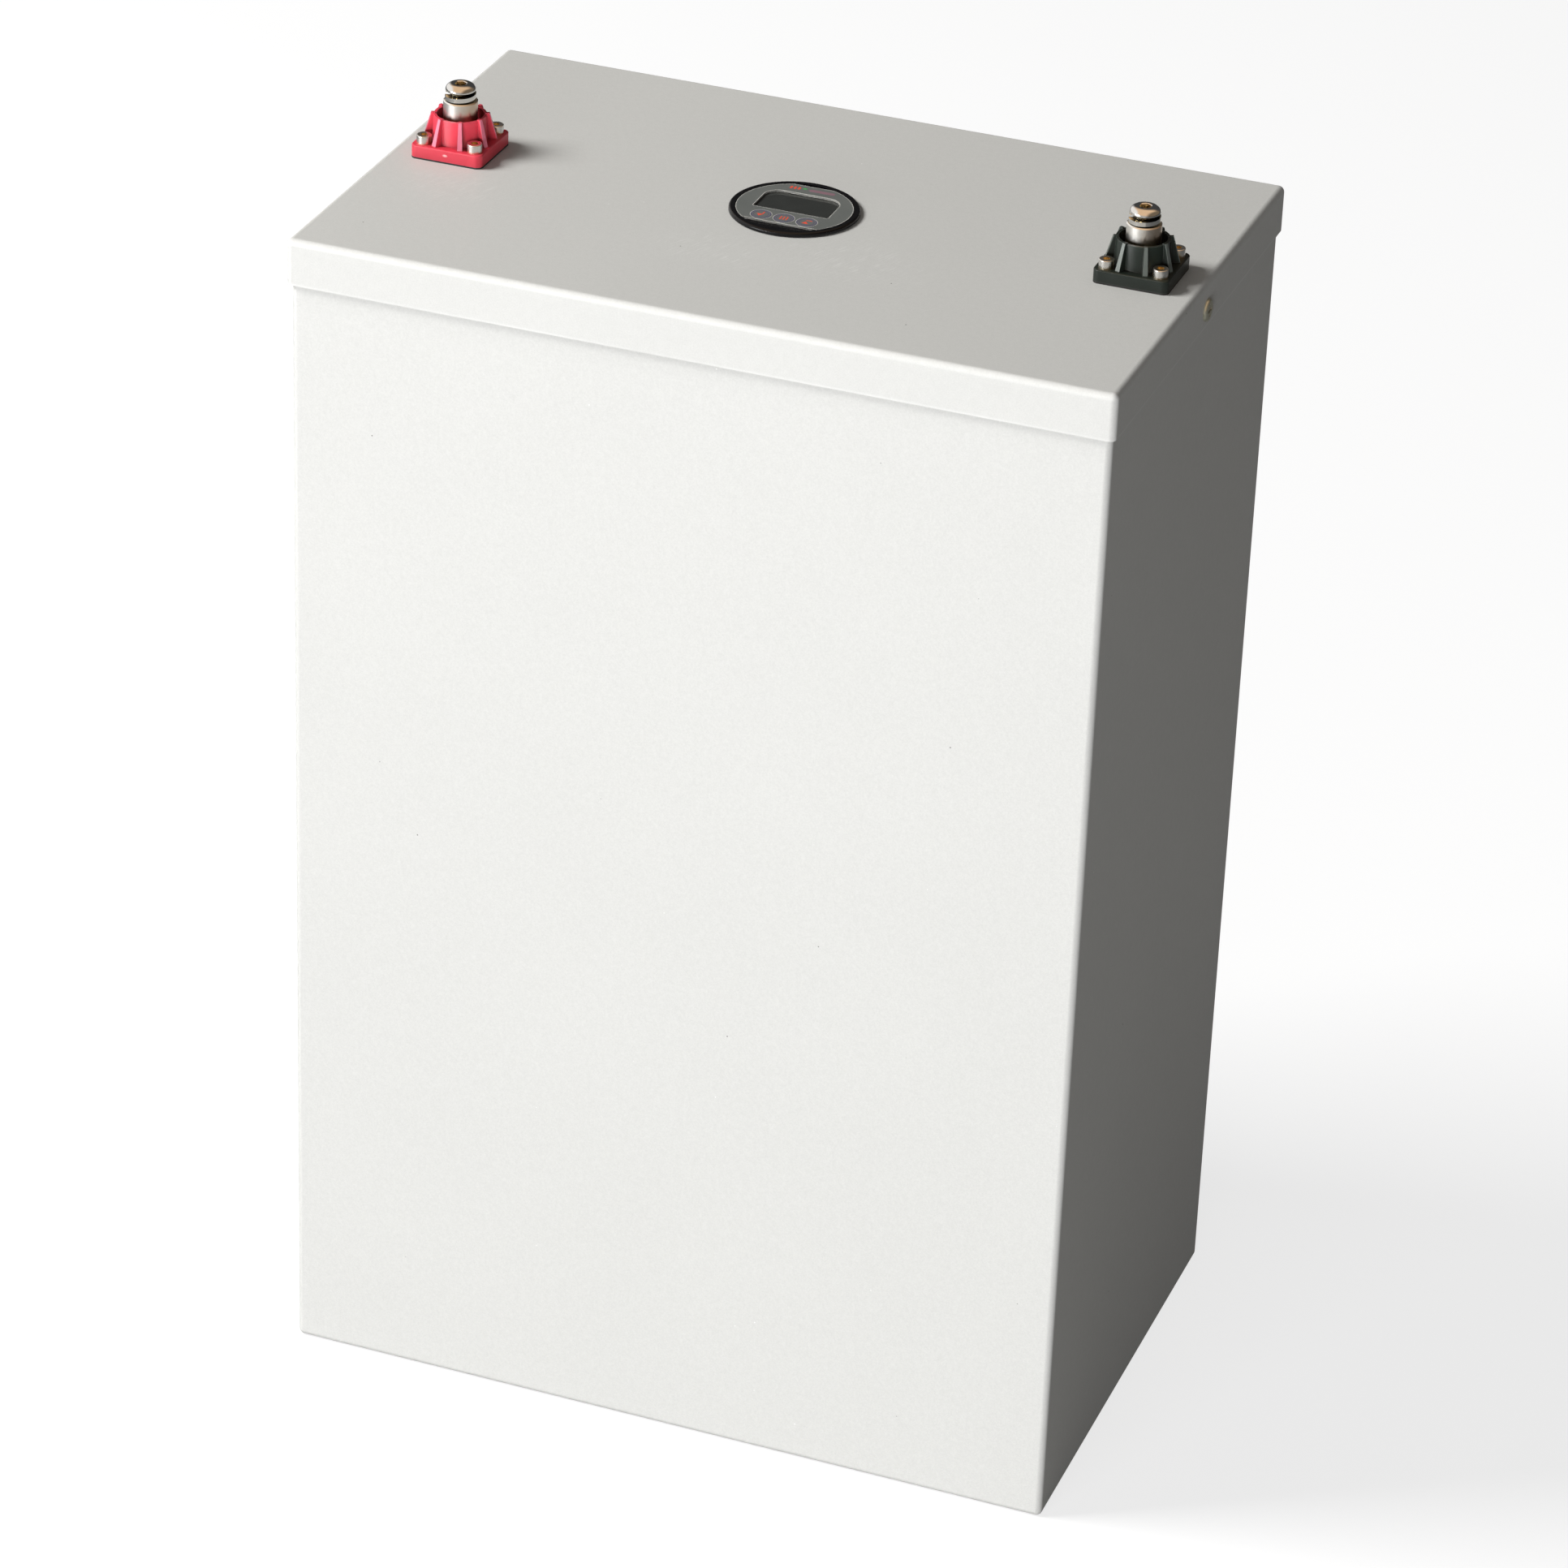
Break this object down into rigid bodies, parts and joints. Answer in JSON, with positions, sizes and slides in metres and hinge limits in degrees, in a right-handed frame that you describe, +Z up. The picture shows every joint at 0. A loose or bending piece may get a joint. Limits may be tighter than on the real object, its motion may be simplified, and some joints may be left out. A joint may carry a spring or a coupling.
{
  "type": "deep cycle battery",
  "caption": "Deep cycle battery in a tall folded-steel case with an overlapping lid, two bolted post terminals in ribbed collars and a round flush meter.",
  "frame": {"origin": "centre of the flat underside", "axes": "+Z up, front face towards -Y, positive terminal at -X, negative terminal at +X"},
  "size_m": [0.3932, 0.252, 0.6214],
  "materials": {
    "powder_coat": "fine-grained light grey powder coat",
    "foam": "closed-cell foam",
    "yellow_zinc_steel": "pale yellow zinc plate",
    "zinc_steel": "bright zinc plate",
    "red_plastic": "moulded, satin",
    "black_plastic": "moulded, satin",
    "nickel_plate": "polished nickel plate on brass",
    "bolt_chrome": "polished stainless steel",
    "stainless_screw": "satin stainless steel",
    "black_rubber": "smooth rubber",
    "black_gloss": "moulded, satin gloss",
    "faceplate_grey": "printed grey acrylic, clear coat",
    "smoked_lens": "smoked window",
    "display_dark": "unlit display",
    "button_grey": "printed grey key",
    "board_green": "solder mask",
    "cell_can": "aluminium can in blue film",
    "insulator_sheet": "glass-fibre epoxy sheet",
    "bare_aluminium": "mill finish",
    "band_steel": "rolled steel band",
    "shelf_steel": "grey powder coat",
    "copper": "bare copper",
    "tinned_copper": "tinned copper",
    "unit_blue": "anodised dark blue",
    "ceramic_white": "glazed body",
    "insulator_red": "moulded polyester",
    "cable_red": "silicone sheath",
    "cable_black": "silicone sheath"
  },
  "bodies": {
    "battery": {"cable_lugs": "tinned_copper", "case_shell": "powder_coat", "cell_nuts": "zinc_steel", "cell_spacers": "insulator_sheet", "cells_lower_left": "cell_can", "cells_lower_right": "cell_can", "cells_upper_left": "cell_can", "cells_upper_right": "cell_can", "centre_insulators": "insulator_sheet", "current_shunt": "copper", "deck_board": "insulator_sheet", "deck_screws": "zinc_steel", "end_plates_lower": "bare_aluminium", "end_plates_upper": "bare_aluminium", "foam_pads": "foam", "fuse_standoff": "insulator_red", "heat_sink": "bare_aluminium", "lid": "powder_coat", "lid_seal": "foam", "lug_screws": "zinc_steel", "main_fuse": "ceramic_white", "meter_back_cover": "black_plastic", "meter_board": "board_green", "meter_cable": "cable_black", "meter_display": "display_dark", "meter_faceplate": "faceplate_grey", "meter_gasket": "black_rubber", "meter_housing": "black_gloss", "meter_lens": "smoked_lens", "meter_ring_nut": "black_plastic", "meter_switches": "black_plastic", "negative_cable": "cable_black", "pack_bands": "band_steel", "pack_negative_bar": "copper", "parallel_straps": "copper", "positive_cable": "cable_red", "positive_riser": "copper", "post_washers": "zinc_steel", "protection_unit": "unit_blue", "sense_wires": "cable_black", "series_bars": "copper", "shunt_link": "copper", "side_nuts": "zinc_steel", "side_screws": "yellow_zinc_steel", "terminal_block_negative": "black_plastic", "terminal_block_positive": "red_plastic", "terminal_gaskets": "black_rubber", "terminal_nuts": "zinc_steel", "terminal_post_negative": "nickel_plate", "terminal_post_positive": "nickel_plate", "terminal_screws": "stainless_screw", "tier_link": "copper", "tier_shelf": "shelf_steel"},
    "positive_washer": {"spring_washer_positive": "bolt_chrome"},
    "positive_bolt": {"terminal_bolt_positive": "bolt_chrome"},
    "negative_washer": {"spring_washer_negative": "bolt_chrome"},
    "negative_bolt": {"terminal_bolt_negative": "bolt_chrome"},
    "left_button": {"meter_button_left": "button_grey"},
    "middle_button": {"meter_button_middle": "button_grey"},
    "right_button": {"meter_button_right": "button_grey"}
  },
  "joints": [
    {"name": "positive_bolt_lift", "type": "slide", "parent": "battery", "child": "positive_washer", "axis": [0, 0, 1], "range_m": [0, 0.01125]},
    {"name": "positive_bolt_turn", "type": "hinge", "parent": "positive_washer", "child": "positive_bolt", "pos_m": [-0.165, 0, 0.618], "axis": [0, 0, 1], "range_deg": [0, 3240]},
    {"name": "negative_bolt_lift", "type": "slide", "parent": "battery", "child": "negative_washer", "axis": [0, 0, 1], "range_m": [0, 0.01125]},
    {"name": "negative_bolt_turn", "type": "hinge", "parent": "negative_washer", "child": "negative_bolt", "pos_m": [0.165, 0, 0.618], "axis": [0, 0, 1], "range_deg": [0, 3240]},
    {"name": "left_button_press", "type": "slide", "parent": "battery", "child": "left_button", "axis": [0, 0, -1], "range_m": [0, 0.0004], "stiffness_N_per_m": 4000, "springref_m": -0.0001},
    {"name": "middle_button_press", "type": "slide", "parent": "battery", "child": "middle_button", "axis": [0, 0, -1], "range_m": [0, 0.0004], "stiffness_N_per_m": 4000, "springref_m": -0.0001},
    {"name": "right_button_press", "type": "slide", "parent": "battery", "child": "right_button", "axis": [0, 0, -1], "range_m": [0, 0.0004], "stiffness_N_per_m": 4000, "springref_m": -0.0001}
  ],
  "couplings": [
    {"joint": "positive_bolt_turn", "follows": "positive_bolt_lift", "rad_per_m": 5026.5},
    {"joint": "negative_bolt_turn", "follows": "negative_bolt_lift", "rad_per_m": 5026.5}
  ]
}
